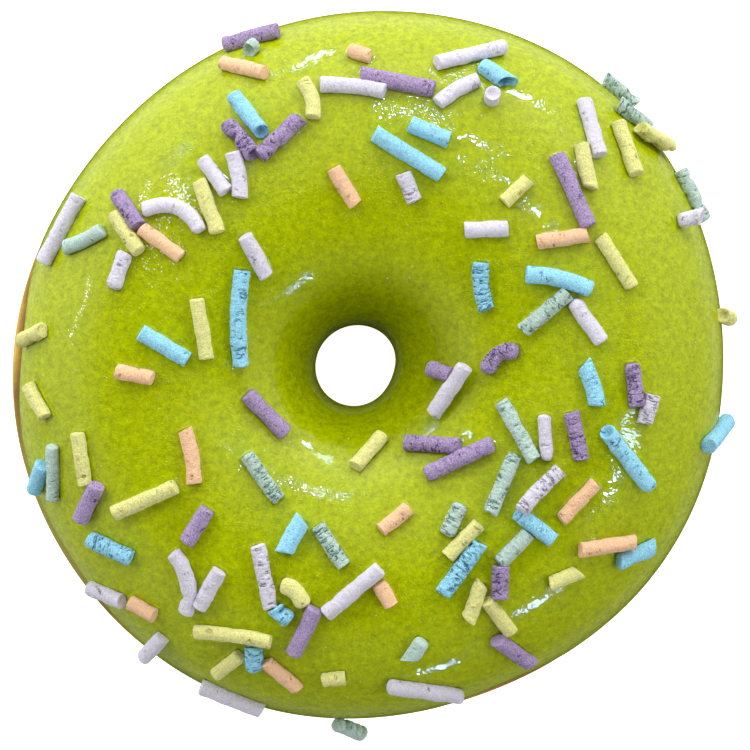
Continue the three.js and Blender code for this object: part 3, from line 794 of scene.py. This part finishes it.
def paste_material(name, hex_colour, slit_shade_colour, pitting):
    """Sugar paste: chalky and quite matt, with a powdery grain and fine pits, and painted shade that
    darkens its colour down in its slits, pits and hollow ends."""
    paste, tree, shader = new_material(name + " sugar paste")
    grain = add(tree, "ShaderNodeAttribute", attribute_name="grain").outputs["Vector"]
    cracking, tone, set_in = (add(tree, "ShaderNodeAttribute", attribute_name=key).outputs["Fac"]
                              for key in ("cracking", "tone", "set_in"))
    powder = add(tree, "ShaderNodeTexNoise",
                 {"Vector": grain, "Scale": per_mm(0.17), "Detail": 2, "Roughness": 0.7})
    cloud = add(tree, "ShaderNodeMapRange", {
        "Value": powder, "From Min": 0.25, "From Max": 0.75,
        "To Min": 0.97 - 0.5 * pitting, "To Max": 0.97 + 0.5 * pitting,
    })
    bright = add(tree, "ShaderNodeMath", {0: tone, 1: 0.04, 2: cloud}, operation="MULTIPLY_ADD")
    plain = add(tree, "ShaderNodeMix", {0: 1.0, 6: linear(hex_colour), 7: bright},
                data_type="RGBA", blend_type="MULTIPLY")
    pores = add(tree, "ShaderNodeTexNoise",
                {"Vector": grain, "Scale": per_mm(0.3), "Detail": 2, "Roughness": 0.6})
    pits = add(tree, "ShaderNodeMapRange",
               {"Value": pores, "From Min": 0.58, "From Max": 0.72, "To Max": 0.6 * pitting})
    # Painted shade: in hollow ends, pits and slits the colour darkens towards the slit colour.
    depth = add(tree, "ShaderNodeMath", {0: set_in}, operation="ABSOLUTE")
    inside = add(tree, "ShaderNodeMath", {0: depth, 1: 1.2 / MM, 2: pits}, operation="MULTIPLY_ADD")
    hollow = add(tree, "ShaderNodeMath", {0: inside, 1: slits(tree, grain, cracking)},
                 operation="MAXIMUM", use_clamp=True)
    shade = add(tree, "ShaderNodeMath", {0: hollow, 1: 0.88}, operation="MULTIPLY")
    with_painted_shade = add(tree, "ShaderNodeMix", {0: shade, 6: plain.outputs[2], 7: linear(slit_shade_colour)},
               data_type="RGBA")
    folds = add(tree, "ShaderNodeMath", {0: wrinkles(tree, grain, cracking), 1: 0.07}, operation="MULTIPLY")
    grainy = add(tree, "ShaderNodeMath", {0: powder, 1: 0.2, 2: folds}, operation="MULTIPLY_ADD")
    height = add(tree, "ShaderNodeMath", {0: hollow, 1: -0.12, 2: grainy}, operation="MULTIPLY_ADD")
    relief = add(tree, "ShaderNodeBump", {"Height": height, "Strength": 1.0, "Distance": MM})
    fill(tree, shader, {"Base Color": with_painted_shade.outputs[2], "Roughness": 0.85, "IOR": 1.4,
                        "Specular IOR Level": 0.0, "Normal": relief})
    return paste


# The paste's colour, the colour of painted shade down in a slit, pit or hollow end, and how strongly it is
# pitted and powdery.
paste_colours = {
    "violet": ("#B19CC4", "#412C58", 1.15),
    "blue": ("#A2E1FC", "#2B6885", 0.72),
    "mint": ("#C4DCD2", "#4C7E6D", 0.62),
    "lemon": ("#EBE999", "#A8A44A", 0.55),
    "peach": ("#FDD0A7", "#B06A48", 0.40),
    "lilac": ("#E4E0EE", "#8A7E92", 0.42),
}
rod_sizes = {"Sides": 42, "Lump height": 0.4 * MM, "Wrinkle height": 0.055 * MM, "Slit depth": 0.14 * MM}

rolling = rods_tree()
sockets = rolling.interface.items_tree
identifiers = {socket.name: socket.identifier for socket in sockets if socket.in_out == "INPUT"}
for name, rows in sprinkles.items():
    lines = new_object(name + "_lines", rod_lines(name, rows))
    modifier = lines.modifiers.new("rolling", "NODES")
    modifier.node_group = rolling
    modifier[identifiers["Material"]] = paste_material(name, *paste_colours[name])
    for key, value in rod_sizes.items():
        modifier[identifiers[key]] = value
    mesh = bpy.data.meshes.new_from_object(lines.evaluated_get(bpy.context.evaluated_depsgraph_get()))
    bpy.data.objects.remove(lines)
    piece = new_object(name + "_sprinkles", mesh)
    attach(piece, "root")
    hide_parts("icing")

# How far each place of the icing is from the nearest sprinkle, for the collar of glaze round it.
collar_reach = 3.0  # further off than this doesn't matter
curve_steps = 9  # points along a rod's middle line
gap_to_rod = np.full(len(icing_corners), collar_reach)
for name, rows in sprinkles.items():
    for row in rows:
        radius = row[7] if len(row) > 7 else sprinkle_radius[name]
        first, control, last = (np.array(corner) for corner in rod_curve(radius, *row[:7]))
        t = np.linspace(0, 1, curve_steps)[:, None]
        line = on_curve(t, first, control, last)
        low, high = line.min(axis=0) - collar_reach - radius, line.max(axis=0) + collar_reach + radius
        near = np.flatnonzero(np.all((icing_corners > low) & (icing_corners < high), axis=1))
        for start, end in zip(line[:-1], line[1:]):
            length = np.linalg.norm(end - start)
            from_start = icing_corners[near] - start
            along = from_start @ (end - start) / length
            from_line = np.sqrt(np.maximum(0, np.sum(from_start ** 2, axis=1) - along ** 2))
            past_end = np.maximum(0, np.maximum(-along, along - length))
            away = np.hypot(np.maximum(0, from_line - radius), past_end)
            gap_to_rod[near] = np.minimum(gap_to_rod[near], away)
store(icing.data, "gap", gap_to_rod)

# The floor: a plain pale sheet under the doughnut. It is hidden from mirrored and diffuse rays, so
# the glaze mirrors the room's darker lower half instead, and the sheet doesn't light the flanks.
floor_reach = 4.0  # from the doughnut to the sheet's sides, in metres
mesh = bpy.data.meshes.new("floor")
floor_corners = [(floor_reach * x, floor_reach * y, 0) for x, y in ((-1, -1), (1, -1), (1, 1), (-1, 1))]
mesh.from_pydata(floor_corners, [], [(0, 1, 2, 3)])
floor = new_object("floor", mesh)

# Matt white sheet: it glows, so that it is evenly white and no shadow shows on it.
sheet, tree, shader = new_material("matt white sheet")
fill(tree, shader, {"Base Color": linear("#D8D8D8"), "Roughness": 0.9,
                    "Emission Color": linear("#FFFFFF"), "Emission Strength": 1.0})
floor.data.materials.append(sheet)
floor.visible_glossy = False
floor.visible_diffuse = False
floor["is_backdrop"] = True

# The light: a pale room that is brightest low down and towards the back, dim overhead and dark
# underfoot, with a soft window high at the back. Directions are right, back and up.
world = bpy.data.worlds.new("pale room")
bpy.context.scene.world = world
world.use_nodes = True
tree = world.node_tree
direction = add(tree, "ShaderNodeTexCoord").outputs["Generated"]
up = add(tree, "ShaderNodeSeparateXYZ", {0: direction}).outputs["Z"]
overhead = add(tree, "ShaderNodeMapRange",
               {"Value": up, "From Min": 0.5, "From Max": 0.9, "To Min": 1.0, "To Max": 0.06},
               interpolation_type="SMOOTHSTEP")
back = add(tree, "ShaderNodeVectorMath", {0: direction, 1: (-0.26, 0.97, 0)}, operation="DOT_PRODUCT")
to_back = add(tree, "ShaderNodeMapRange",
              {"Value": back.outputs["Value"], "From Min": -0.9, "To Min": 0.22, "To Max": 2.12})
below = add(tree, "ShaderNodeMapRange", {"Value": up, "From Min": -0.05, "From Max": 0.1, "To Min": 0.8})
underfoot = add(tree, "ShaderNodeMapRange",
                {"Value": up, "From Min": -0.95, "From Max": -0.7, "To Min": 0.03})
low_down = add(tree, "ShaderNodeMath", {0: underfoot, 1: below}, operation="MULTIPLY")
up_down = add(tree, "ShaderNodeMath", {0: overhead, 1: low_down}, operation="MULTIPLY")
strength = add(tree, "ShaderNodeMath", {0: up_down, 1: to_back}, operation="MULTIPLY")
high_back = add(tree, "ShaderNodeVectorMath", {0: direction, 1: (0.15, 0.55, 0.82)},
                operation="DOT_PRODUCT")
window = add(tree, "ShaderNodeMapRange",
             {"Value": high_back.outputs["Value"], "From Min": 0.74, "From Max": 0.94, "To Max": 0.85},
             interpolation_type="SMOOTHSTEP")
lit = add(tree, "ShaderNodeMath", {0: strength, 1: window}, operation="ADD")
fill(tree, tree.nodes["Background"], {"Strength": lit, "Color": linear("#FFFFFF")})

# Lamps round the doughnut. The soft ones light it and aren't mirrored. The glints are mirrored in
# the glaze, as its highlights, and don't light it. Azimuths, elevations and angles are in degrees.

lamp_distance = 0.6  # in metres


def hang(name, azimuth, elevation, half_length, half_width, slope, radiance):
    """An oval lamp that faces the doughnut. Its half length and half width are the angles at which
    the doughnut sees them, and its length runs level where the slope is 0."""
    length, width = (2 * lamp_distance * math.tan(math.radians(half)) for half in (half_length, half_width))
    data = bpy.data.lights.new(name, "AREA")
    data.shape = "ELLIPSE"
    data.size, data.size_y = length, width
    data.energy = radiance * math.pi * math.pi / 4 * length * width  # pi times radiance times area
    lamp = new_object(name, data)
    a, e = math.radians(azimuth), math.radians(elevation)
    towards = Vector((math.cos(a) * math.cos(e), math.sin(a) * math.cos(e), math.sin(e)))
    level = Vector((-math.sin(a), math.cos(a), 0))
    along = level * math.cos(math.radians(slope)) + towards.cross(level) * math.sin(math.radians(slope))
    lamp.matrix_world = Matrix((along, towards.cross(along), towards)).transposed().to_4x4()
    lamp.location = towards * lamp_distance
    lamp.visible_camera = False
    return lamp


soft_lamps = [  # azimuth, elevation, half angle, radiance
    (62, 24, 8, 7.0),
    (-20, 40, 8, 8.5),
    (-51, 20, 8, 4.8),
    (-83, 10, 8, 4.8),
    (100, 12, 8, 5.8),
    (142, 45, 8, 8.0),
    (168, 33, 8, 2.4),
]
for number, (azimuth, elevation, half_angle, radiance) in enumerate(soft_lamps):
    lamp = hang(f"soft lamp {number}", azimuth, elevation, half_angle, half_angle, 0, radiance)
    lamp.visible_glossy = False

glints = [  # azimuth, elevation, half length and half width, the length's slope, radiance
    (101, 11, 8, 2.1, 60, 30),
    (63.5, 24, 4.2, 2.6, 10, 42),
    (75, 28, 4, 3, 20, 20),
    (79, 59, 1.9, 1.1, 0, 150),
    (65, 65.5, 0.8, 0.8, 0, 120),
    (50, 76, 0.8, 0.8, 0, 130),
    (-16.3, 50, 7.5, 1.1, 82, 36),
    (-24, 50.5, 2.5, 0.9, 80, 110),
    (-55, 30, 3.2, 1.3, -20, 90),
    (-75.5, 9, 3, 2, 0, 55),
    (140, 57, 1.5, 1, 0, 60),
    (132, 33, 2, 0.2, 0, 250),
]
for number, row in enumerate(glints):
    lamp = hang(f"glint lamp {number}", *row)
    lamp.data.color = linear("#BCD8FF")[:3]  # a little blue, as daylight is
    lamp.visible_diffuse = False

# The camera looks straight down from well above.
sensor = 36
shown_width = 0.09375  # at the waist's height, in metres
half_pixel = shown_width / 750 / 2
camera_height = 1.2  # above the waist
data = bpy.data.cameras.new("camera")
data.sensor_width = sensor
data.lens = sensor * camera_height / shown_width
camera = new_object("camera", data)
camera.location = (half_pixel, -half_pixel, camera_height + waist_height * MM)
bpy.context.scene.camera = camera
bpy.context.scene.view_settings.view_transform = "Standard"

low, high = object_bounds()
